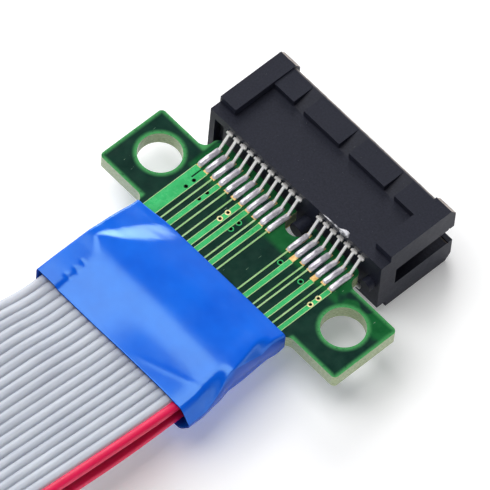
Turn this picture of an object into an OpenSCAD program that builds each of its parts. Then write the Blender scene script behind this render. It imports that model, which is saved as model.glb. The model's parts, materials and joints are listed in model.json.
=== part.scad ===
// Ribbon cable extender for a short card edge slot.
// X runs along the slot, +Y points out of the slot's mouth and +Z is up.
// The slot end rests on its two end flanges, and the ribbons run back along -Y to the plug.

/* [Boards] */
// Thickness of both circuit boards
board_t = 1.6; // [1.4:0.1:1.8]
// Width of the slot board across its two mounting ears
board_w = 34.1; // [34:0.1:38]
// Depth of the mounting ears, front to back
ear_depth = 8.4; // [8:0.1:9]
// Distance between the two mounting holes
hole_spacing = 26.6; // [26.2:0.1:28]
// Diameter of the mounting holes
hole_d = 4.6; // [3:0.1:4.8]
// Width of the plug board across its shoulders
shoulder_w = 26; // [24:0.5:34]

/* [Slot housing] */
// Length of the housing along the slot
housing_len = 24.7; // [24.5:0.1:25]
// Height of the housing from its base to the mouth of the slot
housing_h = 10; // [9.8:0.1:11.2]
// Thickness of the housing's long walls, both walls and the slot together
wall_w = 7.1; // [6.8:0.1:7.4]
// Thickness over the raised pads near the mouth
pad_w = 8.6; // [8:0.1:8.8]
// Thickness over the end flanges, on which the slot end stands
flange_w = 9; // [8.8:0.1:9.4]

/* [Contacts] */
// Distance from one contact to the next
pitch = 1; // [1:1:1]
// Thickness of the contact strip
contact_t = 0.2; // [0.15:0.05:0.25]
// Width of a contact's tail
tail_w = 0.28; // [0.2:0.02:0.4]

/* [Ribbon] */
// Number of conductors in one ribbon
conductors = 20; // [18:1:20]
// Thickness of one ribbon over its insulation
ribbon_t = 0.9; // [0.8:0.05:0.9]
// Thickness of a bare conductor
wire_d = 0.4; // [0.3:0.05:0.45]

/* [Tape] */
// Thickness of the wound tape
tape_t = 0.15; // [0.1:0.05:0.2]

/* [Hidden] */
$fn = 48;
cut = 1;  // how far a cutting body runs past the surface that it opens

// Slot end: the mouth is at +half_len, the back of the tape at -half_len, and mid_z is the board's middle
half_len = 17.4;
mid_z = flange_w / 2;
mouth_y = half_len;
base_y = mouth_y - housing_h;
ear_front = base_y - 2.35;
ear_back = ear_front - ear_depth;
hole_y = ear_front - 3.7;
neck_x = [-10.45, 10.2];
tongue_x = [-10.85, 9.9];
tongue_front = base_y - 0.4;

// Contacts, numbered from 0 in each row, with the key between two groups of them
group_a = 11;
group_b = 7;
pins = group_a + group_b;
key_gap = 2;
first_x = -9.7;
key_x = first_x + (group_a + 0.5) * pitch;
tail_z = 2.55;
pad_t = 0.04;
pad_half = 0.29;
pad_y_span = [ear_front - 1.9, ear_front + 1.15];
long_pads = [12, 15];
long_pad = 0.5;
foot_back = ear_front - 1.65;
foot_front = ear_front + 0.9;
foot_z = board_t / 2 + pad_t + contact_t / 2;

// Slot housing
housing_x = [-12.7, housing_len - 12.7];
flange_len = 2.2;
flange_step = 1.25;
face_y = mouth_y - 0.55;
pad_len = 5.1;
pad_y = mouth_y - 3.6;
edge_c = 0.35;
mouth_c = [0.65, 0.85];
slot_w = 1.8;
slot_floor = mouth_y - 7.8;
card_x = [key_x - 0.95 - 11.65, key_x + 0.95 + 7.65];
cell_depth = 3;
cell_w = 0.72;
cell_floor = base_y + 1.3;
pegs = [[key_x, 1.7, 1.7], [housing_x[1] - 1.15, 1.4, 0.9]];  // as [x, diameter, length]

// Vias, as [lane, y, kind]: a bare hole (0), a ring under the mask (1) or a ring of bare gold (2)
via_rows = [ear_front - 3.33, ear_front - 4.4];
vias = [
    [0.95, 0, 0], [0.95, 1, 0], [2.86, 0, 0], [2.86, 1, 0], [5.9, 0, 2], [5.9, 1, 2],
    [7.48, 0, 1], [7.48, 1, 1], [13.5, 0, 1], [16.43, 0, 1], [18.98, 0, 2], [18.98, 1, 2]
];
via_ring_r = 0.32;
via_hole_r = 0.17;
via_wall = 0.05;

// Ribbons: their route from the slot end to the plug end, as [y, z, spread], where z is the height
// midway between the two and spread is the distance from there to the middle of either
route = [
    [-8, 4.5, 1.31], [-11.3, 4.5, 1.31], [-14, 4.5, 1.14], [-17.4, 4.55, 1], [-20, 4.65, 1.05],
    [-23, 4.9, 1.15], [-26, 5.25, 1.2], [-31, 5.95, 1.2], [-36, 6.65, 1.2], [-41, 7.2, 1.1],
    [-46, 7.5, 1], [-50, 7.6, 0.9], [-54, 7.5, 0.8], [-59, 7.2, 0.7], [-64, 6.65, 0.6],
    [-70, 5.8, 0.52], [-76, 4.95, 0.48], [-82, 4.1, 0.48], [-88, 3.25, 0.48], [-94, 2.45, 0.48],
    [-99, 1.85, 0.48], [-104, 1.4, 0.48], [-109, 1.15, 0.48], [-114, 1.05, 0.48], [-120, 1.05, 0.48],
    [-126, 1.05, 0.48], [-132, 1.1, 0.5], [-137, 1.35, 0.65], [-142, 1.7, 0.85], [-147.2, 1.95, 1],
    [-150.6, 1.95, 1.14], [-153.3, 1.95, 1.31], [-156.6, 1.95, 1.31]
];
ribbon_x = -0.2;
ribbon_w = conductors * pitch + 0.1;

// The joint of the ribbons with a board is laid out along u, from the ribbons' end towards the board
slot_joint_y = route[0][0];
plug_joint_y = route[len(route) - 1][0];
plug_z = route[len(route) - 1][1];
joint_edge = -3.3;
joint_pad = [0.3, 2.1];
hump_half = plug_z;
tape_u = [-half_len - slot_joint_y, 4.25];
tape_x = [neck_x[0] - tape_t, neck_x[1] + tape_t];

// Plug end, laid out along -Y
plug_back = plug_joint_y - joint_edge;
shoulder_y = plug_joint_y - 4.9;
tongue_y = shoulder_y - 5.5;
plug_front = tongue_y - 8.2;
finger_w = 0.7;
finger_len = 4.6;
finger_back = 0.5;
edge_bevel = [1.1, 0.35];

rows = ["a", "b"];
contact_names = [for (row = rows, i = [0 : pins - 1]) contact_name(row, i)];

// ---- helpers ----

function contact_name(row, i) = str("contact_", row, i < 9 ? "0" : "", i + 1);
function pin_x(i) = first_x + i * pitch + (i < group_a ? 0 : key_gap);
function unit(v) = v / norm(v);
function left_of(v) = [-v[1], v[0]];
function lane_x(lane) = first_x + lane * pitch;
function point(i) = [route[i][0], route[i][1]];
function heading(i) = unit(point(min(i + 1, len(route) - 1)) - point(max(i - 1, 0)));

// Unit-thickness mitre of a polyline at point i
function mitre(p, i) =
    let (a = left_of(unit(p[max(i, 1)] - p[max(i, 1) - 1])),
         b = left_of(unit(p[min(i, len(p) - 2) + 1] - p[min(i, len(p) - 2)])),
         m = unit(a + b))
    m / (m * a);

// Outline of a strip of thickness t along the polyline p
function strip(p, t) = concat(
    [for (i = [0 : len(p) - 1]) p[i] + mitre(p, i) * t / 2],
    [for (i = [len(p) - 1 : -1 : 0]) p[i] - mitre(p, i) * t / 2]
);

// A box from one corner to the other
module block(x, y, z) {
    translate([x[0], y[0], z[0]]) cube([x[1] - x[0], y[1] - y[0], z[1] - z[0]]);
}

// An outline of [y, z] points, extruded along X
module along_x(points, x) {
    translate([x[0], 0, 0]) rotate([90, 0, 90]) linear_extrude(x[1] - x[0]) polygon(points);
}

// Children laid out above the plane z = 0, on the upper side (1) or turned over to the lower side (-1)
module on_side(side) {
    if (side > 0) children();
    else mirror([0, 0, 1]) children();
}

module on_both_sides() {
    on_side(1) children();
    on_side(-1) children();
}

module slot_end() {
    translate([0, 0, mid_z]) children();
}

module slot_joint() {
    translate([0, slot_joint_y, mid_z]) children();
}

module plug_joint() {
    translate([0, plug_joint_y, plug_z]) mirror([0, 1, 0]) children();
}

// The web between two square edges that meet at p, rounded with radius r on its open side
module web(p, dir, r, z) {
    translate([p[0], p[1], z[0]]) difference() {
        translate([min(dir[0] * r, 0), min(dir[1] * r, 0), 0]) cube([r, r, z[1] - z[0]]);
        translate([dir[0] * r, dir[1] * r, -cut]) cylinder(r = r, h = z[1] - z[0] + 2 * cut);
    }
}

// ---- slot end ----

// One wall's outline above the middle plane: a flat wall that ramps up to the pads at the mouth
wall_outline = [
    [base_y, -0.1], [face_y, -0.1], [face_y, pad_w / 2 - edge_c], [face_y - edge_c, pad_w / 2],
    [pad_y, wall_w / 2], [base_y, wall_w / 2]
];
flange_outline = [
    [base_y + flange_step, -0.1], [mouth_y, -0.1], [mouth_y, flange_w / 2 - mouth_c[1]],
    [mouth_y - mouth_c[0], flange_w / 2], [base_y + flange_step, flange_w / 2]
];
pad_outline = [
    [pad_y, 0], [face_y, 0], [face_y, pad_w / 2 - edge_c], [face_y - edge_c, pad_w / 2],
    [pad_y, pad_w / 2]
];

module housing_body() {
    along_x(wall_outline, housing_x);
    for (i = [0 : 3]) {
        x = housing_x[0] + i * (housing_len - pad_len) / 3;
        along_x(pad_outline, [x, x + pad_len]);
    }
    along_x(flange_outline, [housing_x[0], housing_x[0] + flange_len]);
    along_x(flange_outline, [housing_x[1] - flange_len, housing_x[1]]);
}

// The space of one contact: a deep cell, its notch in the mouth and the slot for its tail in the base
module contact_cell(i) {
    x = pin_x(i);
    block([x - cell_w / 2, x + cell_w / 2], [cell_floor, face_y - 0.8], [slot_w / 2 - 0.2, cell_depth]);
    block([x - cell_w / 2, x + cell_w / 2], [slot_floor, face_y + cut], [slot_w / 2 - 0.2, 1.75]);
    block([x - cell_w / 2, x + cell_w / 2], [base_y - cut, cell_floor + 0.1],
          [tail_z - 0.35, tail_z + 0.35]);
}

// The card's space: the slot with a bevelled mouth, open through the right end wall
module card_space() {
    bevel = 0.6;
    difference() {
        union() {
            block([card_x[0] - 0.1, housing_x[1] + cut], [slot_floor, mouth_y + cut],
                  [-slot_w / 2, slot_w / 2]);
            along_x([[face_y - bevel, -slot_w / 2], [face_y + 0.01, -slot_w / 2 - bevel],
                     [face_y + 0.01, slot_w / 2 + bevel], [face_y - bevel, slot_w / 2]],
                    [card_x[0] - 0.1, housing_x[1] + cut]);
        }
        block([key_x - 0.85, key_x + 0.85], [slot_floor - cut, face_y - 0.9], [-cut, cut]);
    }
    end_w = 2.5;
    block([card_x[1] + 0.2, housing_x[1] + cut], [slot_floor, mouth_y + cut], [-end_w / 2, end_w / 2]);
}

module slot_housing() {
    recess = [housing_x[0] + 0.7, first_x - 1];
    color("#2b2c33") slot_end() {
        difference() {
            on_both_sides() housing_body();
            on_both_sides() for (i = [0 : pins - 1]) contact_cell(i);
            card_space();
            block(recess, [base_y - cut, base_y + 0.9], [-2.4, 2.4]);
        }
        for (p = pegs)
            translate([p[0], base_y + 0.1, 0]) rotate([90, 0, 0]) cylinder(d = p[1], h = p[2] + 0.1);
    }
}

// The bent strip of a contact's foot and tail, from the pad up to the base of the housing
foot_line = [[foot_back, foot_z], [foot_front, foot_z], [base_y - 0.15, tail_z]];
// Its root and spring inside the housing, bowed in to touch the card
spring_line = [
    [base_y - 0.15, tail_z], [cell_floor + 0.4, tail_z], [cell_floor + 1.2, 2.75],
    [mouth_y - 5.2, 2.3], [mouth_y - 3, 0.85], [mouth_y - 2.1, 1.3]
];

module contact(row, i) {
    side = row == "a" ? 1 : -1;
    x = pin_x(i);
    root_w = 0.55;
    shoulder = 0.76;
    color("#d9d8d4") slot_end() on_side(side) {
        along_x(strip(foot_line, contact_t), [x - tail_w / 2, x + tail_w / 2]);
        along_x(strip(spring_line, contact_t), [x - root_w / 2, x + root_w / 2]);
        block([x - shoulder / 2, x + shoulder / 2], [base_y - 0.28, base_y - 0.05],
              [tail_z - contact_t / 2, tail_z + contact_t / 2]);
    }
}

thin_track = 0.14;
// Copper tracks on one side of a board, as [first lane, last lane, width], where a lane is one pitch
// and lane 0 lies under the first contact
tracks = [
    [0, 1, 0.66], [2, 2, thin_track], [3, 3, 0.6], [4, 4, thin_track], [5, 5, thin_track],
    [6, 6, 0.64], [7, 7, 0.62], [8.25, 8.25, thin_track], [9.07, 9.07, 0.6], [10, 10, thin_track],
    [13, 13, thin_track], [14.05, 14.05, 0.6], [15.25, 15.25, thin_track],
    [15.85, 15.85, thin_track], [17.1, 17.1, 0.56], [18.08, 18.08, thin_track], [19.05, 19.05, 0.56]
];
// The first track is slit between its two pads
slit = [[lane_x(0.5) - 0.09, lane_x(0.5) + 0.09], [ear_front - 3.25, pad_y_span[0] + cut]];

// Where a track meets its pad: some pads run further back than the others
function track_end(t) =
    len([for (i = long_pads) if (abs(lane_x(t[0]) - pin_x(i)) < pitch / 2) i]) > 0
    ? pad_y_span[0] - long_pad : pad_y_span[0];

module track_copper(t, y) {
    block([lane_x(t[0]) - t[2] / 2, lane_x(t[1]) + t[2] / 2], y, [board_t / 2, board_t / 2 + pad_t]);
}

module via_drill(r) {
    for (v = vias) translate([lane_x(v[0]), via_rows[v[1]], -board_t]) cylinder(r = r, h = 2 * board_t, $fn = 24);
}

module via_rings(kind) {
    for (v = vias) if (v[2] == kind)
        translate([lane_x(v[0]), via_rows[v[1]], board_t / 2]) cylinder(r = via_ring_r, h = pad_t, $fn = 24);
}

module slot_board() {
    z = [-board_t / 2, board_t / 2];
    tall = [z[0] - cut, z[1] + cut];
    corner_r = 0.5;
    inner_r = 1;
    notch_r = 1.3;
    color("#1c5a3c") slot_end() difference() {
        union() {
            block([-board_w / 2, board_w / 2], [ear_back, ear_front], z);
            block(tongue_x, [ear_front - 1, tongue_front], z);
            block(neck_x, [slot_joint_y + joint_edge, ear_back + 1], z);
            for (s = [0, 1]) {
                out = 2 * s - 1;
                web([tongue_x[s], ear_front], [out, 1], inner_r, z);
                web([neck_x[s], ear_back], [out, -1], inner_r, z);
            }
        }
        for (s = [-1, 1]) {
            translate([s * hole_spacing / 2, hole_y, tall[0]]) cylinder(d = hole_d, h = tall[1] - tall[0]);
            web([s * board_w / 2, ear_front], [-s, -1], corner_r, tall);
            web([s * board_w / 2, ear_back], [-s, 1], corner_r, tall);
        }
        web([tongue_x[0], tongue_front], [1, -1], 0.8, tall);
        web([tongue_x[1], tongue_front], [-1, -1], 0.8, tall);
        translate([key_x, ear_front + 0.9, tall[0]]) cylinder(r = notch_r, h = tall[1] - tall[0]);
        block([key_x - notch_r, key_x + notch_r], [ear_front + 0.9, tongue_front + cut], tall);
        via_drill(via_hole_r + via_wall);
    }
}

module slot_traces(side) {
    color("#46b070") slot_end() on_side(side) difference() {
        union() {
            for (t = tracks) track_copper(t, [slot_joint_y + joint_pad[1] + 0.1, track_end(t)]);
            via_rings(1);
        }
        via_drill(via_hole_r + via_wall);
        via_rings(2);
        block(slit[0], slit[1], [0, board_t]);
    }
}

module slot_traces_top() {
    slot_traces(1);
}

module slot_traces_bottom() {
    slot_traces(-1);
}

// Gold pads: one under each contact's foot and one under each conductor
module slot_pads(side) {
    z = [board_t / 2, board_t / 2 + pad_t];
    color("#d8b45a") {
        slot_end() on_side(side) for (i = [0 : pins - 1])
            block([pin_x(i) - pad_half, pin_x(i) + pad_half],
                  [pad_y_span[0] - (len(search(i, long_pads)) > 0 ? long_pad : 0), pad_y_span[1]], z);
        slot_joint() joint_pads(side);
    }
}

module slot_pads_top() {
    slot_pads(1);
}

module slot_pads_bottom() {
    slot_pads(-1);
}

// Plated tubes through the board, some with a bare ring on each face
module slot_vias() {
    color("#d8b45a") slot_end() difference() {
        union() {
            intersection() {
                via_drill(via_hole_r + via_wall);
                block([-board_w, board_w], [ear_back, ear_front], [-board_t / 2, board_t / 2 + pad_t / 2]);
            }
            on_both_sides() via_rings(2);
        }
        via_drill(via_hole_r);
    }
}

module slot_solder(side) {
    z = [board_t / 2 + pad_t, board_t / 2 + pad_t + 0.34];
    color("#c9ccd2") slot_end() on_side(side) difference() {
        for (x = [for (i = [0 : pins - 1]) pin_x(i)])
            block([x - pad_half, x + pad_half], [foot_back - 0.15, foot_front - 0.05], z);
        for (x = [for (i = [0 : pins - 1]) pin_x(i)])
            along_x(strip(foot_line, contact_t), [x - tail_w / 2, x + tail_w / 2]);
    }
}

module slot_solder_top() {
    slot_solder(1);
}

module slot_solder_bottom() {
    slot_solder(-1);
}

// ---- joint of the ribbons with either board ----

function wire_x(i) = ribbon_x + (i - (conductors - 1) / 2) * pitch;
wire_z = board_t / 2 + pad_t + wire_d / 2;

module joint_pads(side) {
    on_side(side) for (i = [0 : conductors - 1])
        block([wire_x(i) - pad_half, wire_x(i) + pad_half], joint_pad,
              [board_t / 2, board_t / 2 + pad_t]);
}

// A conductor pressed flat: out of the ribbon, up over the edge of the board and along its pad
wire_line = [[0, route[0][2]], [0.5, wire_z], [joint_pad[1] - 0.3, wire_z]];

module bare_wire(i) {
    x = wire_x(i);
    along_x(strip(wire_line, wire_d), [x - wire_d / 2, x + wire_d / 2]);
}

module wire_ends() {
    color("#c98f58") for (side = [1, -1], i = [0 : conductors - 1]) on_side(side) bare_wire(i);
}

module wire_solder() {
    z = [board_t / 2 + pad_t, wire_z + wire_d / 2 + 0.08];
    color("#c9ccd2") for (side = [1, -1]) on_side(side) difference() {
        for (i = [0 : conductors - 1])
            block([wire_x(i) - pad_half, wire_x(i) + pad_half],
                  [joint_pad[0] + 0.4, joint_pad[1] - 0.1], z);
        for (i = [0 : conductors - 1]) bare_wire(i);
    }
}

// The upper line of the tape's outside: over the ribbons, their joints and down on the board
tape_line = [
    [tape_u[0], 1.65], [-6.6, 1.8], [-3.9, hump_half], [0.3, hump_half], [1.2, 1.6], [3.2, 1.5],
    [tape_u[1], 1.02]
];

module tape_sleeve() {
    outer = concat(tape_line, [for (i = [len(tape_line) - 1 : -1 : 0]) [tape_line[i][0], -tape_line[i][1]]]);
    line = [for (p = tape_line) [p[0], p[1] - tape_t]];
    inner = concat([[line[0][0] - cut, line[0][1]]], line, [[tape_u[1] + cut, line[len(line) - 1][1]]]);
    hollow = concat(inner, [for (i = [len(inner) - 1 : -1 : 0]) [inner[i][0], -inner[i][1]]]);
    color("#1c6ce8") difference() {
        along_x(outer, tape_x);
        along_x(hollow, [tape_x[0] + tape_t, tape_x[1] - tape_t]);
    }
}

module slot_wire_ends() {
    slot_joint() wire_ends();
}

module slot_wire_solder() {
    slot_joint() wire_solder();
}

module slot_tape() {
    slot_joint() tape_sleeve();
}

// ---- ribbons ----

// A flat cable with bevelled edges, swept along the route on its upper side (1) or lower side (-1)
module ribbon(side) {
    hw = ribbon_w / 2;
    ht = ribbon_t / 2;
    c = 0.2;
    section = [
        [-hw, c - ht], [c - hw, -ht], [hw - c, -ht], [hw, c - ht],
        [hw, ht - c], [hw - c, ht], [c - hw, ht], [-hw, ht - c]
    ];
    n = len(section);
    rings = len(route);
    points = [
        for (i = [0 : rings - 1], q = section)
            let (t = heading(i), up = [t[1], -t[0]], p = point(i) + up * (side * route[i][2] + q[1]))
            [ribbon_x + q[0], p[0], p[1]]
    ];
    walls = [
        for (i = [0 : rings - 2], j = [0 : n - 1])
            [i * n + j, i * n + (j + 1) % n, (i + 1) * n + (j + 1) % n, (i + 1) * n + j]
    ];
    first = [for (j = [n - 1 : -1 : 0]) j];
    last = [for (j = [0 : n - 1]) (rings - 1) * n + j];
    polyhedron(points, concat([first], walls, [last]), convexity = 6);
}

module ribbon_upper() {
    color("#cbcfd9") ribbon(1);
}

module ribbon_lower() {
    color("#cbcfd9") ribbon(-1);
}

// ---- plug end ----

module plug_board() {
    z = [plug_z - board_t / 2, plug_z + board_t / 2];
    tall = [z[0] - cut, z[1] + cut];
    key_w = 1.9;
    color("#1c5a3c") difference() {
        union() {
            block(neck_x, [shoulder_y - 1, plug_back], z);
            block([-shoulder_w / 2, shoulder_w / 2], [tongue_y, shoulder_y], z);
            block(card_x, [plug_front, tongue_y + 1], z);
            for (s = [0, 1]) web([neck_x[s], shoulder_y], [2 * s - 1, 1], 0.8, z);
        }
        for (s = [-1, 1], e = [[shoulder_y, -1], [tongue_y, 1]])
            web([s * shoulder_w / 2, e[0]], [-s, e[1]], 0.6, tall);
        block([key_x - key_w / 2, key_x + key_w / 2], [plug_front - cut, plug_front + 7.2], tall);
        translate([0, 0, plug_z]) on_both_sides()
            along_x([[plug_front - cut, board_t / 2 - edge_bevel[1] - 0.32],
                     [plug_front + edge_bevel[0], board_t / 2], [plug_front - cut, board_t / 2 + cut]],
                    [card_x[0] - cut, card_x[1] + cut]);
    }
}

module plug_fingers(side) {
    y = plug_front + edge_bevel[0] + finger_back;
    color("#d8b45a") {
        translate([0, 0, plug_z]) on_side(side) for (i = [0 : pins - 1])
            block([pin_x(i) - finger_w / 2, pin_x(i) + finger_w / 2], [y, y + finger_len],
                  [board_t / 2, board_t / 2 + pad_t]);
        plug_joint() joint_pads(side);
    }
}

module plug_fingers_top() {
    plug_fingers(1);
}

module plug_fingers_bottom() {
    plug_fingers(-1);
}

module plug_traces(side) {
    y = [plug_front + edge_bevel[0] + finger_back + finger_len, plug_joint_y - joint_pad[1] - 0.1];
    color("#46b070") translate([0, 0, plug_z]) on_side(side) for (t = tracks) track_copper(t, y);
}

module plug_traces_top() {
    plug_traces(1);
}

module plug_traces_bottom() {
    plug_traces(-1);
}

module plug_wire_ends() {
    plug_joint() wire_ends();
}

module plug_wire_solder() {
    plug_joint() wire_solder();
}

module plug_tape() {
    plug_joint() tape_sleeve();
}

slot_housing();
slot_board();
slot_traces_top();
slot_traces_bottom();
slot_pads_top();
slot_pads_bottom();
slot_vias();
slot_solder_top();
slot_solder_bottom();
slot_wire_ends();
slot_wire_solder();
slot_tape();
ribbon_upper();
ribbon_lower();
plug_board();
plug_fingers_top();
plug_fingers_bottom();
plug_traces_top();
plug_traces_bottom();
plug_wire_ends();
plug_wire_solder();
plug_tape();
for (row = rows, i = [0 : pins - 1])
    contact(row, i);
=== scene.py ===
import json
import math
import random

import bpy
from mathutils import Matrix, Vector


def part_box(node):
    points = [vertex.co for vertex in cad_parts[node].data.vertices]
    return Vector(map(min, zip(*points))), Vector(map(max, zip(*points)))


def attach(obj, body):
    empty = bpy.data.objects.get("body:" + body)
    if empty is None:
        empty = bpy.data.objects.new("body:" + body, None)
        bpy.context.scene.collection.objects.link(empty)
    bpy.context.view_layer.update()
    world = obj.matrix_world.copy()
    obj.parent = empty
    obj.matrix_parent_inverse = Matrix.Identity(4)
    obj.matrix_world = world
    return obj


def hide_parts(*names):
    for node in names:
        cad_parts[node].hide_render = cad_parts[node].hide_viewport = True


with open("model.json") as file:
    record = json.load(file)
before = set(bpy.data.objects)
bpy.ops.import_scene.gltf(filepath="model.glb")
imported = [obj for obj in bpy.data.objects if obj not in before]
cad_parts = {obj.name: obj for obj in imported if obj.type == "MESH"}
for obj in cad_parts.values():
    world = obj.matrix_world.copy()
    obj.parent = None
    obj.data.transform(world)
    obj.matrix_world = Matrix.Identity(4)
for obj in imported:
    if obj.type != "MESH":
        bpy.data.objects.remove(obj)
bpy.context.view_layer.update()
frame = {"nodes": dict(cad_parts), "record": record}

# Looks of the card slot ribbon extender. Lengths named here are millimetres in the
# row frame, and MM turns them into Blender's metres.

MM = 0.001
random.seed(20)


# ---- small helpers ----

def box(node):
    """The CAD node's lowest and highest corners, in millimetres."""
    low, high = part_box(node)
    return low / MM, high / MM


def clamp(value, low=0.0, high=1.0):
    return max(low, min(high, value))


def smooth(edge0, edge1, value):
    t = clamp((value - edge0) / (edge1 - edge0))
    return t * t * (3 - 2 * t)


def mix(a, b, t):
    return a + (b - a) * t


def along(stops, at):
    """Value at a place on a smooth line through (place, value) stops, in rising order."""
    if at <= stops[0][0]:
        return stops[0][1]
    for i in range(len(stops) - 1):
        x0, y0 = stops[i]
        x1, y1 = stops[i + 1]
        if at <= x1:
            before = stops[max(i - 1, 0)]
            after = stops[min(i + 2, len(stops) - 1)]
            m0 = (y1 - before[1]) / (x1 - before[0])
            m1 = (after[1] - y0) / (after[0] - x0)
            h = x1 - x0
            t = (at - x0) / h
            return ((2 * t ** 3 - 3 * t ** 2 + 1) * y0 + (t ** 3 - 2 * t ** 2 + t) * h * m0
                    + (3 * t ** 2 - 2 * t ** 3) * y1 + (t ** 3 - t ** 2) * h * m1)
    return stops[-1][1]


def new_piece(name, verts, faces, materials, indices=None, mask_and_hole_shade=True, stands_for=()):
    """A mesh piece from points in millimetres, which rides on the one body."""
    mesh = bpy.data.meshes.new(name)
    mesh.from_pydata([(v[0] * MM, v[1] * MM, v[2] * MM) for v in verts], [], faces)
    for m in materials:
        mesh.materials.append(m)
    if indices:
        mesh.polygons.foreach_set("material_index", indices)
    mesh.polygons.foreach_set("use_smooth", [mask_and_hole_shade] * len(faces))
    mesh.validate()
    mesh.update()
    piece = bpy.data.objects.new(name, mesh)
    bpy.context.scene.collection.objects.link(piece)
    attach(piece, "root")
    if stands_for:
        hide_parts(*stands_for)
    return piece


def ring_faces(rings, count, closed=True):
    """Quads between successive rings of points."""
    faces = []
    for i in range(rings - 1):
        for j in range(count if closed else count - 1):
            k = (j + 1) % count
            faces.append((i * count + j, i * count + k, (i + 1) * count + k, (i + 1) * count + j))
    return faces


# ---- camera, at the photograph's angle ----

VIEW_AZIMUTH = math.radians(42.33)
VIEW_HEIGHT = math.radians(57.68)
VIEW_ROLL = math.radians(5.97)
VIEW_DISTANCE = 897.0
VIEW_TARGET = Vector((0.047, 0.465, 5.3))
VIEW_LENS = 672.4

back = Vector((math.sin(VIEW_AZIMUTH) * math.cos(VIEW_HEIGHT),
               -math.cos(VIEW_AZIMUTH) * math.cos(VIEW_HEIGHT), math.sin(VIEW_HEIGHT)))
level = Vector((math.cos(VIEW_AZIMUTH), math.sin(VIEW_AZIMUTH), 0))
upright = back.cross(level)
right = level * math.cos(VIEW_ROLL) + upright * math.sin(VIEW_ROLL)
up = upright * math.cos(VIEW_ROLL) - level * math.sin(VIEW_ROLL)

camera_data = bpy.data.cameras.new("camera")
camera_data.lens = VIEW_LENS
camera_data.sensor_width = 36
camera_data.clip_start = 0.05
camera_data.clip_end = 20
camera = bpy.data.objects.new("camera", camera_data)
bpy.context.scene.collection.objects.link(camera)
camera.matrix_world = (Matrix.Translation((VIEW_TARGET + back * VIEW_DISTANCE) * MM)
                       @ Matrix((right, up, back)).transposed().to_4x4())
bpy.context.scene.camera = camera


# ---- materials ----

class Paint:
    """A node material on one principled shader, with coordinates in millimetres."""

    def __init__(self, name, rough, metallic=0.0, **fixed):
        self.material = bpy.data.materials.new(name)
        self.material.use_nodes = True
        self.tree = self.material.node_tree
        self.shader = self.tree.nodes["Principled BSDF"]
        self.set("Roughness", rough)
        self.set("Metallic", metallic)
        for key, value in fixed.items():
            self.set(key.replace("_", " "), value)
        self.place = self.tree.nodes.new("ShaderNodeTexCoord").outputs["Object"]

    def set(self, socket, value):
        self.shader.inputs[socket].default_value = value

    def link(self, output, socket):
        self.tree.links.new(output, self.shader.inputs[socket])

    def node(self, kind, inputs=(), **settings):
        made = self.tree.nodes.new("ShaderNode" + kind)
        for key, value in settings.items():
            setattr(made, key, value)
        for key, value in inputs:
            if isinstance(value, bpy.types.NodeSocket):
                self.tree.links.new(value, made.inputs[key])
            else:
                made.inputs[key].default_value = value
        return made

    def sum(self, operation, a, b=0.0, c=0.0):
        return self.node("Math", ((0, a), (1, b), (2, c)), operation=operation).outputs[0]

    def ease(self, value, start, end):
        """0 below start, 1 above end."""
        return self.node("MapRange", ((0, value), (1, start), (2, end)),
                         interpolation_type="SMOOTHSTEP").outputs[0]

    def scaled(self, stretch=(1, 1, 1)):
        size = [s / MM for s in stretch]
        return self.node("Mapping", (("Vector", self.place), ("Scale", size))).outputs[0]

    def noise(self, scale, detail=4.0, stretch=(1, 1, 1), rough=0.55):
        return self.node("TexNoise", (("Vector", self.scaled(stretch)), ("Scale", scale),
                                      ("Detail", detail), ("Roughness", rough))).outputs[0]

    def axis(self):
        """X, Y and Z in millimetres."""
        return self.node("SeparateXYZ", ((0, self.scaled()),)).outputs

    def ramp(self, value, stops):
        made = self.node("ValToRGB", ((0, value),))
        elements = made.color_ramp.elements
        while len(elements) < len(stops):
            elements.new(0.5)
        for element, (at, colour) in zip(elements, stops):
            element.position = at
            element.color = (*colour, 1)
        return made.outputs[0]

    def blend(self, share, a, b):
        made = self.node("Mix", ((0, share),), data_type="RGBA")
        for socket, value in ((made.inputs[6], a), (made.inputs[7], b)):
            if isinstance(value, bpy.types.NodeSocket):
                self.tree.links.new(value, socket)
            else:
                socket.default_value = (*value, 1)
        return made.outputs[2]

    def colour(self, output):
        self.link(output, "Base Color")

    def vary_rough(self, value, low, high):
        self.link(self.node("MapRange", ((0, value), (3, low), (4, high))).outputs[0], "Roughness")

    def bump(self, height, depth, strength=1.0):
        """Depth of the relief is in millimetres."""
        made = self.node("Bump", (("Height", height), ("Strength", strength), ("Distance", depth * MM)))
        self.link(made.outputs[0], "Normal")


def rgb(r, g, b):
    """A display colour from 0 to 255 as the shader's linear colour."""
    return tuple(c / 3294.6 if c <= 10 else ((c / 255 + 0.055) / 1.055) ** 2.4 for c in (r, g, b))


def plastic_black():
    p = Paint("housing_plastic", 0.46, Specular_IOR_Level=0.14)
    grain = p.noise(5.0, 6.0)
    tone = p.ramp(grain, [(0.3, rgb(29, 31, 42)), (0.7, rgb(39, 41, 54))])
    specks = p.noise(9.0, 2.0)
    tone = p.blend(p.ease(specks, 0.76, 0.8), tone, rgb(150, 150, 150))
    # Faces tilted up and towards +Y, the mouth's chamfers, get a pale brownish painted reflection: full
    # within the last 0.7 mm of the housing in Y, a faint share elsewhere.
    normal = p.node("SeparateXYZ", ((0, p.node("NewGeometry").outputs["Normal"]),)).outputs
    chamfer = p.sum("MULTIPLY", p.ease(normal[1], 0.5, 0.62), p.ease(normal[2], 0.45, 0.6))
    end = box("slot_housing")[1].y
    flange = p.ease(p.axis()[1], end - 0.75, end - 0.65)
    chamfer = p.sum("MULTIPLY", chamfer, p.sum("ADD", 0.12, p.sum("MULTIPLY", flange, 0.88)))
    chamfer_reflection = p.ramp(p.noise(1.6, 4.0), [(0.35, rgb(96, 88, 84)), (0.65, rgb(186, 176, 168))])
    p.colour(p.blend(chamfer, tone, chamfer_reflection))
    p.vary_rough(p.noise(1.2, 3.0), 0.34, 0.5)
    p.bump(p.noise(14.0, 3.0), 0.02, 0.35)
    return p.material


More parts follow.
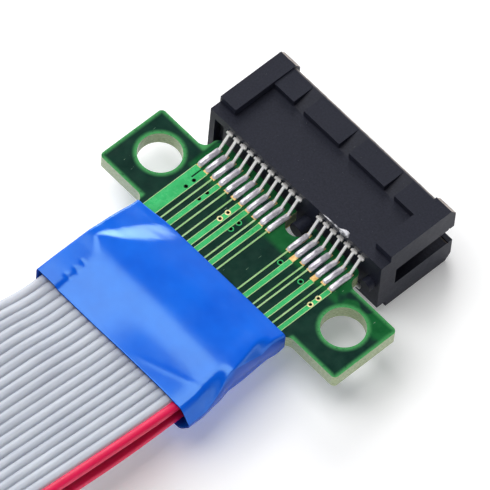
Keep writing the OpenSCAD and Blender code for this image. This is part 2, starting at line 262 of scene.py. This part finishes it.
def board_mask():
    """Solder mask with a paler rim at the outline and holes, over beige glass fibre."""
    p = Paint("board_green", 0.2, Specular_IOR_Level=0.3)
    high = box("slot_board")[1]
    x, y, _ = p.axis()
    side = p.sum("ABSOLUTE", x)
    hole_x, hole_y, hole_r = HOLE
    away = p.sum("SQRT", p.sum("ADD", p.sum("POWER", p.sum("SUBTRACT", side, hole_x), 2),
                               p.sum("POWER", p.sum("SUBTRACT", y, hole_y), 2)))
    hole_rim = p.sum("SUBTRACT", 1.0, p.ease(away, hole_r + 0.02, hole_r + 0.6))
    outer = p.sum("MAXIMUM", p.sum("SUBTRACT", side, high.x), p.sum(
        "SUBTRACT", p.sum("ABSOLUTE", p.sum("SUBTRACT", y, EAR_Y)), EAR_HALF))
    edge_rim = p.sum("MULTIPLY", p.ease(outer, -0.55, 0.0), p.ease(side, NECK_X[1] + 0.3, NECK_X[1] + 0.7))
    rim = p.sum("MAXIMUM", hole_rim, edge_rim)
    rough_rim = p.sum("MULTIPLY", rim, p.ease(p.noise(3.0, 3.0), 0.1, 0.5))
    mottle = p.noise(0.8, 5.0)
    deep = p.ramp(mottle, [(0.3, rgb(4, 42, 34)), (0.72, rgb(14, 56, 44))])
    pour = p.ramp(mottle, [(0.3, rgb(6, 82, 38)), (0.72, rgb(22, 104, 52))])
    patch = p.sum("MULTIPLY", p.ease(y, EAR_Y + 1.4, EAR_Y + 2.2), p.ease(p.noise(0.35, 1.0), 0.36, 0.44))
    patch = p.sum("MULTIPLY", patch, p.ease(x, NECK_X[0] - 0.4, NECK_X[0] + 0.2))
    mask = p.blend(patch, deep, pour)
    mask = p.blend(rough_rim, mask, rgb(76, 162, 94))
    scratch = p.noise(2.4, 2.0, (2.2, 0.35, 1))
    mask = p.blend(p.sum("MULTIPLY", p.ease(scratch, 0.74, 0.78), 0.55), mask, rgb(150, 190, 160))
    normal = p.node("NewGeometry").outputs["Normal"]
    facing = p.sum("ABSOLUTE", p.node("SeparateXYZ", ((0, normal),)).outputs[2])
    fibre = p.ramp(p.noise(3.0, 4.0, (1, 1, 6)), [(0.35, rgb(140, 158, 120)), (0.65, rgb(188, 200, 160))])
    p.colour(p.blend(p.ease(facing, 0.4, 0.6), fibre, mask))
    p.vary_rough(p.noise(1.6, 4.0), 0.14, 0.26)
    p.bump(p.noise(2.2, 3.0), 0.01, 0.2)
    return p.material


def track_green():
    p = Paint("mask_over_copper", 0.22, Specular_IOR_Level=0.45)
    tone = p.ramp(p.noise(1.4, 4.0, (1, 0.4, 1)), [(0.3, rgb(40, 176, 96)), (0.7, rgb(58, 200, 116))])
    specks = p.noise(5.0, 2.0)
    p.colour(p.blend(p.sum("MULTIPLY", p.ease(specks, 0.76, 0.8), 0.6), tone, rgb(220, 240, 215)))
    p.vary_rough(p.noise(2.0), 0.2, 0.34)
    p.bump(p.noise(3.0, 2.0), 0.015, 0.25)
    return p.material


# The raised lines along the tracks' edges are painted pale yellow-green as a painted highlight.
def track_rim():
    p = Paint("mask_rim_highlight", 0.3, Specular_IOR_Level=0.5)
    tone = p.ramp(p.noise(1.2, 4.0, (1, 0.3, 1)), [(0.3, rgb(160, 212, 130)), (0.7, rgb(214, 240, 184))])
    p.colour(tone)
    p.bump(p.noise(6.0, 2.0), 0.01, 0.3)
    return p.material


def metal(name, dark, light, rough, scale, grain_depth, stretch=(1, 1, 1), metallic=1.0):
    p = Paint(name, rough, metallic)
    p.colour(p.ramp(p.noise(scale, 4.0, stretch), [(0.3, dark), (0.7, light)]))
    p.vary_rough(p.noise(scale * 1.7, 3.0, stretch), rough * 0.75, rough * 1.3)
    p.bump(p.noise(scale * 3, 3.0, stretch), grain_depth, 0.4)
    return p.material


def via_paint(ring_x):
    """Gold where a via's ring is bare, dark under the mask, and dark inside the holes as painted shade."""
    p = Paint("via_gold", 0.34, 0.6)
    x = p.axis()[0]
    bare = p.sum("MAXIMUM", p.sum("COMPARE", x, ring_x[0], 0.5), p.sum("COMPARE", x, ring_x[1], 0.5))
    normal = p.node("NewGeometry").outputs["Normal"]
    flat = p.sum("ABSOLUTE", p.node("SeparateXYZ", ((0, normal),)).outputs[2])
    mask_and_hole_shade = p.ramp(p.noise(2.0), [(0.3, rgb(6, 30, 20)), (0.7, rgb(14, 44, 30))])
    tone = p.ramp(p.noise(2.6), [(0.3, rgb(240, 214, 150)), (0.7, rgb(255, 236, 184))])
    # Steep faces, the holes' walls, take the dark colour as painted shade.
    p.colour(p.blend(p.sum("MULTIPLY", bare, p.ease(flat, 0.5, 0.8)), mask_and_hole_shade, tone))
    p.bump(p.noise(6.0), 0.01, 0.3)
    return p.material


def tape_paint():
    p = Paint("tape_blue", 0.2, Specular_IOR_Level=0.9, Specular_Tint=(0.5, 0.92, 1.0, 1.0))
    cloud = p.noise(0.22, 3.0)
    tone = p.ramp(cloud, [(0.3, rgb(6, 92, 224)), (0.7, rgb(14, 108, 240))])
    # Steep faces, the tape's sides, are painted a darker blue as painted shade, and reflect less.
    normal = p.node("SeparateXYZ", ((0, p.node("NewGeometry").outputs["Normal"]),)).outputs
    level = p.ease(p.sum("ABSOLUTE", normal[2]), 0.15, 0.55)
    p.colour(p.blend(level, rgb(2, 76, 196), tone))
    p.link(p.sum("ADD", 0.25, p.sum("MULTIPLY", level, 0.65)), "Specular IOR Level")
    p.vary_rough(p.noise(0.7, 4.0), 0.15, 0.24)
    p.bump(p.noise(0.9, 3.0), 0.008, 0.2)
    return p.material


# The tape's cut edge, all round both tapes, is painted dark navy and dull as painted shade, the dark line
# along the tape's rear edge.
def tape_edge_shade_paint():
    p = Paint("tape_cut_edge_shade", 0.7, Specular_IOR_Level=0.1)
    p.colour(p.ramp(p.noise(1.2, 3.0), [(0.3, rgb(2, 34, 110)), (0.7, rgb(6, 52, 150))]))
    return p.material


def wire_paint(name, dark, light):
    p = Paint(name, 0.42, Specular_IOR_Level=0.4, Subsurface_Weight=0.05)
    p.colour(p.ramp(p.noise(0.6, 4.0, (1.6, 0.15, 1.6)), [(0.3, dark), (0.7, light)]))
    p.vary_rough(p.noise(1.3, 3.0, (1, 0.2, 1)), 0.36, 0.5)
    p.bump(p.noise(3.2, 3.0, (1, 0.4, 1)), 0.02, 0.3)
    return p.material


# ---- layout taken from the frame ----

slot_low, slot_high = box("slot_board")
plug_low, plug_high = box("plug_board")
SLOT_Z = (slot_low.z + slot_high.z) / 2
PLUG_Z = (plug_low.z + plug_high.z) / 2
BOARD_HALF = (slot_high.z - slot_low.z) / 2
tape_low, tape_high = box("slot_tape")
plug_tape_low = box("plug_tape")[0]
TAPE_T = 0.12
NECK_X = (tape_low.x + 0.15, tape_high.x - 0.15)
# the right ear's hole, and a little back from it the middle of the ears
bore = next(m for m in frame["record"]["mounts"] if m["name"] == "hole_right")
HOLE = (bore["pos_m"][0] / MM, bore["pos_m"][1] / MM, 2.3)
EAR_Y = HOLE[1] - 0.5
EAR_HALF = 4.2
# where the pale sliver on the housing's rear edge runs, a painted glint
GLINT_X = (3.6, 7.2)
GLINT_Y = 7.4
GLINT_Z = 8.05

black = plastic_black()
mask = board_mask()
copper_green = track_green()
rim_highlight_green = track_rim()
gold = metal("gold", rgb(226, 176, 96), rgb(255, 226, 164), 0.34, 2.0, 0.01, metallic=0.6)
solder = metal("solder", rgb(214, 208, 222), rgb(250, 246, 252), 0.3, 2.6, 0.03, metallic=0.55)
tin = metal("contact_tin", rgb(232, 230, 228), rgb(255, 253, 250), 0.3, 3.0, 0.006, (1, 0.3, 1), 0.5)
copper = metal("bare_copper", rgb(190, 120, 70), rgb(236, 170, 120), 0.3, 2.0, 0.01)
blue = tape_paint()
blue_edge_shade = tape_edge_shade_paint()
grey_wire = wire_paint("ribbon_grey", rgb(186, 190, 202), rgb(206, 210, 220))
red_wire = wire_paint("ribbon_red", rgb(220, 8, 68), rgb(246, 20, 90))

finish_of = {"housing_plastic": black, "board_green": mask, "mask_over_copper": copper_green,
             "gold": gold, "solder": solder, "contact_tin": tin, "bare_copper": copper,
             "tape_blue": blue, "ribbon_grey": grey_wire}
for part in frame["record"]["subparts"]:
    node = frame["nodes"][part["node"]]
    node.data.materials.clear()
    node.data.materials.append(finish_of[part["material_slot"]])


def islands(node):
    """The corners of each separate solid of a CAD node, in millimetres."""
    mesh = frame["nodes"][node].data
    key = [tuple(round(c / MM, 3) for c in v.co) for v in mesh.vertices]
    root = {k: k for k in key}

    def find(k):
        while root[k] != k:
            root[k] = root[root[k]]
            k = root[k]
        return k

    for edge in mesh.edges:
        a, b = (find(key[i]) for i in edge.vertices)
        root[a] = b
    groups = {}
    for k in sorted(root):
        groups.setdefault(find(k), []).append(k)
    return sorted(groups.values())


# the vias whose rings are bare are wider than the rest
rings = set()
for solid in islands("slot_vias"):
    across = [p[0] for p in solid]
    if max(across) - min(across) > 0.5:
        rings.add(round((max(across) + min(across)) / 2, 2))
frame["nodes"]["slot_vias"].data.materials[0] = via_paint(sorted(rings))


# ---- ribbons ----

# The route of part.scad, from the slot end to the plug end, as (y, z, spread) in metres: z is the
# height midway between the two ribbons and spread the distance from there to the middle of either
ROUTE = [
    (-0.008, 0.0045, 0.00131), (-0.0113, 0.0045, 0.00131), (-0.014, 0.0045, 0.00114),
    (-0.0174, 0.00455, 0.001), (-0.02, 0.00465, 0.00105), (-0.023, 0.0049, 0.00115),
    (-0.026, 0.00525, 0.0012), (-0.031, 0.00595, 0.0012), (-0.036, 0.00665, 0.0012),
    (-0.041, 0.0072, 0.0011), (-0.046, 0.0075, 0.001), (-0.05, 0.0076, 0.0009),
    (-0.054, 0.0075, 0.0008), (-0.059, 0.0072, 0.0007), (-0.064, 0.00665, 0.0006),
    (-0.07, 0.0058, 0.00052), (-0.076, 0.00495, 0.00048), (-0.082, 0.0041, 0.00048),
    (-0.088, 0.00325, 0.00048), (-0.094, 0.00245, 0.00048), (-0.099, 0.00185, 0.00048),
    (-0.104, 0.0014, 0.00048), (-0.109, 0.00115, 0.00048), (-0.114, 0.00105, 0.00048),
    (-0.12, 0.00105, 0.00048), (-0.126, 0.00105, 0.00048), (-0.132, 0.0011, 0.0005),
    (-0.137, 0.00135, 0.00065), (-0.142, 0.0017, 0.00085), (-0.1472, 0.00195, 0.001),
    (-0.1506, 0.00195, 0.00114), (-0.1533, 0.00195, 0.00131), (-0.1566, 0.00195, 0.00131),
]
CONDUCTORS = 20
PITCH = 1.0
RIBBON_X = -0.2
STEPS = 5
INSULATION = 0.45
WEB = 0.16


def route_at(s):
    """Point (y, z, spread) in millimetres at s sections along the route, on a smooth curve."""
    i = min(int(s), len(ROUTE) - 2)
    t = s - i
    a, b, c, d = (ROUTE[clamp(i + k, 0, len(ROUTE) - 1)] for k in (-1, 0, 1, 2))
    return [0.5 * (2 * q + (r - p) * t + (2 * p - 5 * q + 4 * r - e) * t ** 2
                   + (3 * q - p - 3 * r + e) * t ** 3) / MM for p, q, r, e in zip(a, b, c, d)]


def hump(x, y):
    """Extra height of the upper ribbon, whose left part bows up behind the tape."""
    rise = smooth(-19.0, -25.5, y) * smooth(-46, -29, y)
    return 0.75 * rise * smooth(4.0, -8.5, x)


def wire_profile():
    """Across one ribbon: (x, half thickness) with a groove between conductors."""
    shape = [(-0.5, WEB), (-0.45, 0.25), (-0.39, 0.34), (-0.3, 0.4), (-0.15, 0.44), (0, INSULATION),
             (0.15, 0.44), (0.3, 0.4), (0.39, 0.34), (0.45, 0.25)]
    line = []
    for i in range(CONDUCTORS):
        centre = RIBBON_X + (i - (CONDUCTORS - 1) / 2) * PITCH
        line += [(centre + s, h, i) for s, h in shape]
    last = RIBBON_X + CONDUCTORS / 2 * PITCH
    line[0] = (line[0][0] + 0.02, 0.05, 0)
    return line + [(last - 0.02, 0.05, CONDUCTORS - 1)]


def ribbon(name, side):
    """One ribbon along the route, above its middle where side is 1 and below it where side is -1."""
    profile = wire_profile()
    samples = (len(ROUTE) - 1) * STEPS
    count = 2 * len(profile)
    verts = []
    for k in range(samples + 1):
        s = k / STEPS
        y, z, spread = route_at(s)
        y0, z0, _ = route_at(max(s - 0.1, 0))
        y1, z1, _ = route_at(min(s + 0.1, len(ROUTE) - 1))
        t = Vector((y1 - y0, z1 - z0)).normalized()
        away = Vector((t[1], -t[0]))
        line = [(x, h) for x, h, _ in profile] + [(x, -h) for x, h, _ in reversed(profile)]
        for x, h in line:
            bow = hump(x, y) if side > 0 else 0.4 * hump(x, y)
            ripple = 0.035 * math.sin(0.9 * x + 0.13 * y) * smooth(-18, -24, y) * smooth(-146, -140, y)
            p = Vector((y, z)) + away * (side * spread + h + bow + ripple)
            verts.append((x, p[0], p[1]))
    faces = ring_faces(samples + 1, count)
    lane_of = [i for _, _, i in profile] + [i for _, _, i in reversed(profile)]
    indices = []
    for _ in range(samples):
        for j in range(count):
            lane = min(lane_of[j], lane_of[(j + 1) % count])
            indices.append(1 if lane == CONDUCTORS - 1 else 0)
    for ring in (0, samples):
        half = len(profile)
        for j in range(half - 1):
            a, b = ring * count + j, ring * count + j + 1
            c, d = ring * count + count - 2 - j, ring * count + count - 1 - j
            faces.append((a, b, c, d) if ring else (d, c, b, a))
            indices.append(1 if profile[j][2] == CONDUCTORS - 1 else 0)
    made = new_piece("ribbon_" + name + "_ribs", verts, faces,
                     [grey_wire, red_wire], indices, stands_for=("ribbon_" + name,))
    return made


# ---- tape, wound round each joint of the ribbons with a board ----

# Height of the tape's inner face over the board's middle plane, at distances behind its front edge:
# along its middle, along the left strip beside the platform that the ribbon makes, and along its
# right part
TAPE_LINE = [(0, 1.02), (0.5, 1.2), (1.1, 1.42), (2.5, 1.86), (4.2, 2.14), (6.2, 2.26),
             (7.6, 2.25), (9.6, 2.08), (11.4, 1.9), (13.65, 1.7)]
LEFT_LINE = [(0, 1.02), (0.8, 1.09), (1.6, 1.25), (2.4, 1.47), (3.3, 1.71), (4.2, 1.89), (5.2, 1.98),
             (6.2, 2.16), (6.9, 2.21), (8.6, 2.15), (9.6, 2.12), (11.4, 2.06), (13.65, 1.94)]
RIGHT_LINE = [(0, 1.02), (0.5, 1.2), (1.1, 1.42), (2.5, 1.85), (4.2, 2.12), (6.2, 2.22),
              (7.6, 2.2), (9.0, 2.07), (10.0, 1.98), (11.0, 1.93), (13.65, 1.87)]
# The slope between the strip and the rest: where it starts and ends across the tape
SLOPE_FOOT = [(0, -6.7), (0.7, -7.1), (4.3, -8.9), (6.7, -9.85), (7.3, -9.3), (8.0, -8.6), (9.0, -8.35),
              (13.65, -8.2)]
SLOPE_TOP = [(0, -4.1), (1.8, -5.1), (4.6, -7.1), (6.7, -9.4), (7.3, -8.7), (8.0, -7.9), (9.0, -7.8),
             (13.65, -7.6)]
# Share of that height at distances inward from a side edge: where the tape lies on the board,
# along the crease, at the loose rear corner, and underneath
EDGE_FRONT = [(0, 0.86), (0.12, 0.97), (0.3, 1), (3, 1)]
EDGE_CREASE = [(0, 0.4), (0.15, 0.54), (0.72, 0.95), (0.86, 1), (3, 1)]
EDGE_REAR = [(0, 0.12), (0.25, 0.3), (0.8, 0.76), (1.15, 0.95), (1.4, 1), (3, 1)]
EDGE_UNDER = [(0, 0.44), (0.15, 0.5), (2.0, 1), (3, 1)]
# Small dents beside the platform, as (x, depth, radius), and a finer wrinkle
DENTS = ((-8.0, 10.9, 0.26), (-8.1, 12.0, 0.22), (-8.2, 9.8, 0.2))
DENT_DEPTH = 0.07
WRINKLE_HEIGHT = 0.018
TAPE_ROWS = 110
TAPE_COLUMNS = 84
FLOOR_GAP = 0.01


def edge_share(inward, depth, loose, under=False):
    """Share of the tape's height near its right edge, where loose is 1 at the loose corner."""
    if under:
        share = mix(along(EDGE_FRONT, inward), along(EDGE_UNDER, inward), smooth(0.6, 2.5, depth))
    else:
        from_crease = inward + 0.2 * clamp(depth - 3, 0, 4.3)
        share = mix(along(EDGE_FRONT, inward), along(EDGE_CREASE, from_crease), smooth(1.4, 3.6, depth))
    return mix(share, along(EDGE_REAR, inward), loose)


def on_platform(x, depth):
    """0 on the left strip, 1 right of the slope beside it."""
    foot, top = along(SLOPE_FOOT, depth), along(SLOPE_TOP, depth)
    share = clamp((x - foot) / (top - foot))
    return mix(share, smooth(0, 1, share), 0.35)


def fold(x, depth):
    """Height of the slot tape's smaller folds at x and at a depth behind its front edge."""
    z = 0.0
    for dent_x, dent_depth, radius in DENTS:
        z -= DENT_DEPTH * math.exp(-((x - dent_x) ** 2 + (depth - dent_depth) ** 2) / radius ** 2)
    # a wrinkle across the flatter part beside the loose corner
    beside = (depth - 12.3 + 0.35 * (x - 5)) / 0.35
    return z + WRINKLE_HEIGHT * math.exp(-beside ** 2) * smooth(2.0, 4.5, x)


def tape(name, node, front_y, to_rear, z, folded):
    """A sleeve of tape from its front edge, to_rear being the direction of Y. Only the slot's is folded."""
    low, high = box(node)
    deep = high.y - low.y
    verts = []
    for i in range(TAPE_ROWS + 1):
        depth = deep * i / TAPE_ROWS
        loose = smooth(6.9, 11.5, depth) if folded else 0.25 * smooth(8, 13, depth)
        swell = 0.1 * smooth(3, 6, depth) + 0.5 * smooth(7.2, 9.6, depth) + 0.4 * smooth(9, 12, depth)
        tip = high.x + (swell if folded else 0.15 * loose)
        left = low.x + 0.1 * smooth(12, 2, depth) if folded else low.x
        top = []
        for j in range(TAPE_COLUMNS + 1):
            x = mix(left, tip, 0.5 - 0.5 * math.cos(math.pi * j / TAPE_COLUMNS))
            thick = along(TAPE_LINE, depth)
            if folded:
                thick = mix(thick, along(RIGHT_LINE, depth), smooth(-3.5, 2.5, x) * smooth(9.6, 7.9, x))
                thick = mix(along(LEFT_LINE, depth), thick, on_platform(x, depth))
            from_tip = tip - x
            share = edge_share(from_tip, depth, loose) * along(EDGE_FRONT, 4 * (x - left))
            beneath = edge_share(from_tip, depth, loose, True) * along(EDGE_FRONT, x - left)
            wave = 0.010 * math.sin(0.5 * x + 0.4 * depth)
            inner = smooth(0.0, 1.0, x - left) * smooth(0.0, 1.0, from_tip)
            extra = (fold(x, depth) if folded else 0) + wave
            upper = thick * share + extra * inner
            lower = max(-thick * beneath, TAPE_T + FLOOR_GAP - z)
            short = 0.34 * smooth(-6.0, -10.6, x) * smooth(2.5, 0, depth) if folded else 0
            y = front_y + to_rear * (depth + short)
            top.append(((x, y, z + upper), (x, y, z + lower)))
        loop = [p[0] for p in top] + [p[1] for p in reversed(top)]
        verts += loop
    count = len(loop)
    faces = ring_faces(TAPE_ROWS + 1, count)
    if to_rear > 0:
        faces = [tuple(reversed(f)) for f in faces]
    made = new_piece(name, verts, faces, [blue, blue_edge_shade], stands_for=(node,))
    shell = made.modifiers.new("thickness", "SOLIDIFY")
    shell.thickness = TAPE_T * MM
    shell.offset = -1
    shell.material_offset_rim = 1
    return made


tape("slot_tape_wrap", "slot_tape", tape_high.y, -1, SLOT_Z, True)
plug_wrap = tape("plug_tape_wrap", "plug_tape", plug_tape_low.y, 1, PLUG_Z, False)

ribbon("upper", 1)
ribbon("lower", -1)


# ---- the tracks' paler edges, a painted highlight ----

RIM_FACES = ((0, 1, 5, 4), (1, 2, 6, 5), (2, 3, 7, 6), (3, 0, 4, 7), (3, 2, 1, 0), (4, 5, 6, 7))
RIM_WIDTH = 0.055
RIM_HEIGHT = 0.05
LONG_TRACK = 3


def rims(name, node, z, side):
    """A fine raised line along both edges of every straight track."""
    verts, faces = [], []
    for solid in islands(node):
        ys = [p[1] for p in solid]
        y0, y1 = min(ys), max(ys)
        if y1 - y0 < LONG_TRACK:
            continue
        ends = [p[0] for p in solid if p[1] < y0 + 0.01]
        for x, inward in ((min(ends), 1), (max(ends), -1)):
            n = len(verts)
            face = z + side * BOARD_HALF
            lift = (0, RIM_HEIGHT, RIM_HEIGHT, 0)
            reach = (-0.02, 0, RIM_WIDTH, RIM_WIDTH + 0.01)
            for y in (y0, y1):
                verts += [(x + inward * r, y, face + side * q) for r, q in zip(reach, lift)]
            turn = inward * side > 0
            for quad in RIM_FACES:
                ids = tuple(n + q for q in quad)
                faces.append(tuple(reversed(ids)) if turn else ids)
    return new_piece(name, verts, faces, [rim_highlight_green], mask_and_hole_shade=False)


rims("slot_track_rims_top", "slot_traces_top", SLOT_Z, 1)
rims("slot_track_rims_bottom", "slot_traces_bottom", SLOT_Z, -1)
rims("plug_track_rims_top", "plug_traces_top", PLUG_Z, 1)
rims("plug_track_rims_bottom", "plug_traces_bottom", PLUG_Z, -1)


# ---- solder on the contacts' feet ----

def fillets(name, node, side):
    """A drawn-out mound of solder round each foot, no two of them the same."""
    base = SLOT_Z + side * BOARD_HALF
    low, high = box(node)
    row = "contact_a" if side > 0 else "contact_b"
    verts, faces = [], []
    stations, around = 22, 14
    for contact in sorted(n for n in frame["nodes"] if n.startswith(row)):
        c_low, c_high = box(contact)
        x = (c_low.x + c_high.x) / 2
        tall = random.uniform(0.30, 0.40)
        half = random.uniform(0.31, 0.34)
        back_y = low.y - random.uniform(-0.05, 0.12)
        front_y = high.y + random.uniform(0.15, 0.4)
        lumps = [(random.uniform(0.15, 0.8), random.uniform(-0.12, 0.18), random.uniform(0.08, 0.2))
                 for _ in range(3)]
        lean = random.uniform(-0.05, 0.05)
        n = len(verts)
        for i in range(stations + 1):
            t = i / stations
            body = (1 - (1 - clamp(t / 0.16)) ** 2) ** 0.5 * (1 - 0.3 * smooth(0.5, 0.9, t))
            body *= 1 + sum(a * math.exp(-((t - c) / w) ** 2) for c, a, w in lumps)
            body *= 1 - 0.8 * smooth(0.9, 1.0, t)
            wide = half * (1 - (1 - clamp(t / 0.1)) ** 2) ** 0.5 * (1 - 0.4 * smooth(0.86, 1.0, t))
            y = mix(back_y, front_y, t)
            for j in range(around + 1):
                a = math.pi * j / around
                sx = math.cos(a)
                sz = math.sin(a) ** 0.8
                lift = tall * body * sz * (1 + 0.07 * math.sin(5 * a + 9 * t + 40 * lean))
                verts.append((x + lean * t + wide * sx, y, base + side * (0.03 + lift)))
        count = around + 1
        for i in range(stations):
            this = n + i * count
            after = this + count
            for j in range(around):
                faces.append((this + j, this + j + 1, after + j + 1, after + j))
            faces.append((this + around, this, after, after + around))
        faces.append(tuple(range(after, after + count)))
    if side > 0:
        faces = [tuple(reversed(f)) for f in faces]
    return new_piece(name, verts, faces, [solder], stands_for=(node,))


fillets("slot_fillets_top", "slot_solder_top", 1)
fillets("slot_fillets_bottom", "slot_solder_bottom", -1)


# ---- the pale sliver of moulding flash on the housing's edge above the contacts, a painted glint ----

def flash_glint():
    """A thin torn sliver of plastic, widest near its right end, painted pale in patches as a painted glint.
    """
    p = Paint("flash_glint_plastic", 0.3, Specular_IOR_Level=0.6)
    p.colour(p.ramp(p.noise(3.0, 4.0, (0.5, 1, 1)), [(0.38, rgb(60, 62, 70)), (0.55, rgb(214, 214, 220))]))
    p.bump(p.noise(5.0, 3.0), 0.04, 0.5)
    line = [(0, 0.02), (0.2, 0.07), (0.45, 0.09), (0.62, 0.1), (0.78, 0.34), (0.93, 0.32), (1, 0.05)]
    verts, stations, around = [], 24, 8
    for i in range(stations + 1):
        t = i / stations
        half = along(line, t)
        for j in range(around):
            a = 2 * math.pi * j / around
            reach = half * (1 + 0.12 * math.sin(7 * t + 3 * a))
            verts.append((mix(GLINT_X[0], GLINT_X[1], t), GLINT_Y + 0.5 * half + reach * math.cos(a),
                          GLINT_Z + 0.35 * reach * math.sin(a)))
    faces = ring_faces(stations + 1, around)
    faces += [tuple(reversed(range(around))), tuple(range(stations * around, (stations + 1) * around))]
    return new_piece("housing_flash_glint", verts, faces, [p.material])


flash_glint()


# ---- floor and lights ----

def floor():
    p = Paint("floor", 0.7, Specular_IOR_Level=0.2, Emission_Color=(1, 1, 1, 1), Emission_Strength=0.2)
    p.colour(p.ramp(p.noise(0.02, 2.0), [(0.3, (0.96, 0.96, 0.965)), (0.7, (0.98, 0.98, 0.98))]))
    mesh = bpy.data.meshes.new("floor")
    half = 3.0
    corners = [(-half, -half, 0), (half, -half, 0), (half, half, 0), (-half, half, 0)]
    mesh.from_pydata(corners, [], [(0, 1, 2, 3)])
    mesh.materials.append(p.material)
    plane = bpy.data.objects.new("floor", mesh)
    bpy.context.scene.collection.objects.link(plane)


def lamp(name, toward, distance, size, power):
    """A square soft light in a direction from the slot end, at a distance and of a size in metres."""
    data = bpy.data.lights.new(name, "AREA")
    data.size = size
    data.energy = power
    made = bpy.data.objects.new(name, data)
    direction = Vector(toward).normalized()
    across = Vector((0, 1, 0)).cross(direction).normalized()
    turn = Matrix((across, direction.cross(across), direction)).transposed().to_4x4()
    made.matrix_world = Matrix.Translation(direction * distance) @ turn
    bpy.context.scene.collection.objects.link(made)


floor()
lamp("key_light", (-0.37, -0.13, 0.92), 0.9, 0.80, 6.9)
lamp("side_light", (-0.66, 0.54, 0.52), 0.9, 0.38, 2.4)
lamp("low_side_light", (-0.62, 0.70, 0.36), 0.9, 0.3, 1.5)
lamp("fill_right", (0.9, -0.1, 0.4), 1.0, 0.8, 0.7)

world = bpy.data.worlds.new("studio")
world.use_nodes = True
nodes, links = world.node_tree.nodes, world.node_tree.links
direction = nodes.new("ShaderNodeTexCoord").outputs["Generated"]
height = nodes.new("ShaderNodeSeparateXYZ")
links.new(direction, height.inputs[0])
walls = nodes.new("ShaderNodeValToRGB")
walls.color_ramp.elements[0].position = 0.2
walls.color_ramp.elements[0].color = (0.95, 0.95, 0.96, 1)
walls.color_ramp.elements[1].position = 0.44
walls.color_ramp.elements[1].color = (0.04, 0.04, 0.04, 1)
links.new(height.outputs[2], walls.inputs[0])
links.new(walls.outputs[0], nodes["Background"].inputs[0])
nodes["Background"].inputs[1].default_value = 1.0
bpy.context.scene.world = world
bpy.context.scene.view_settings.view_transform = "Standard"
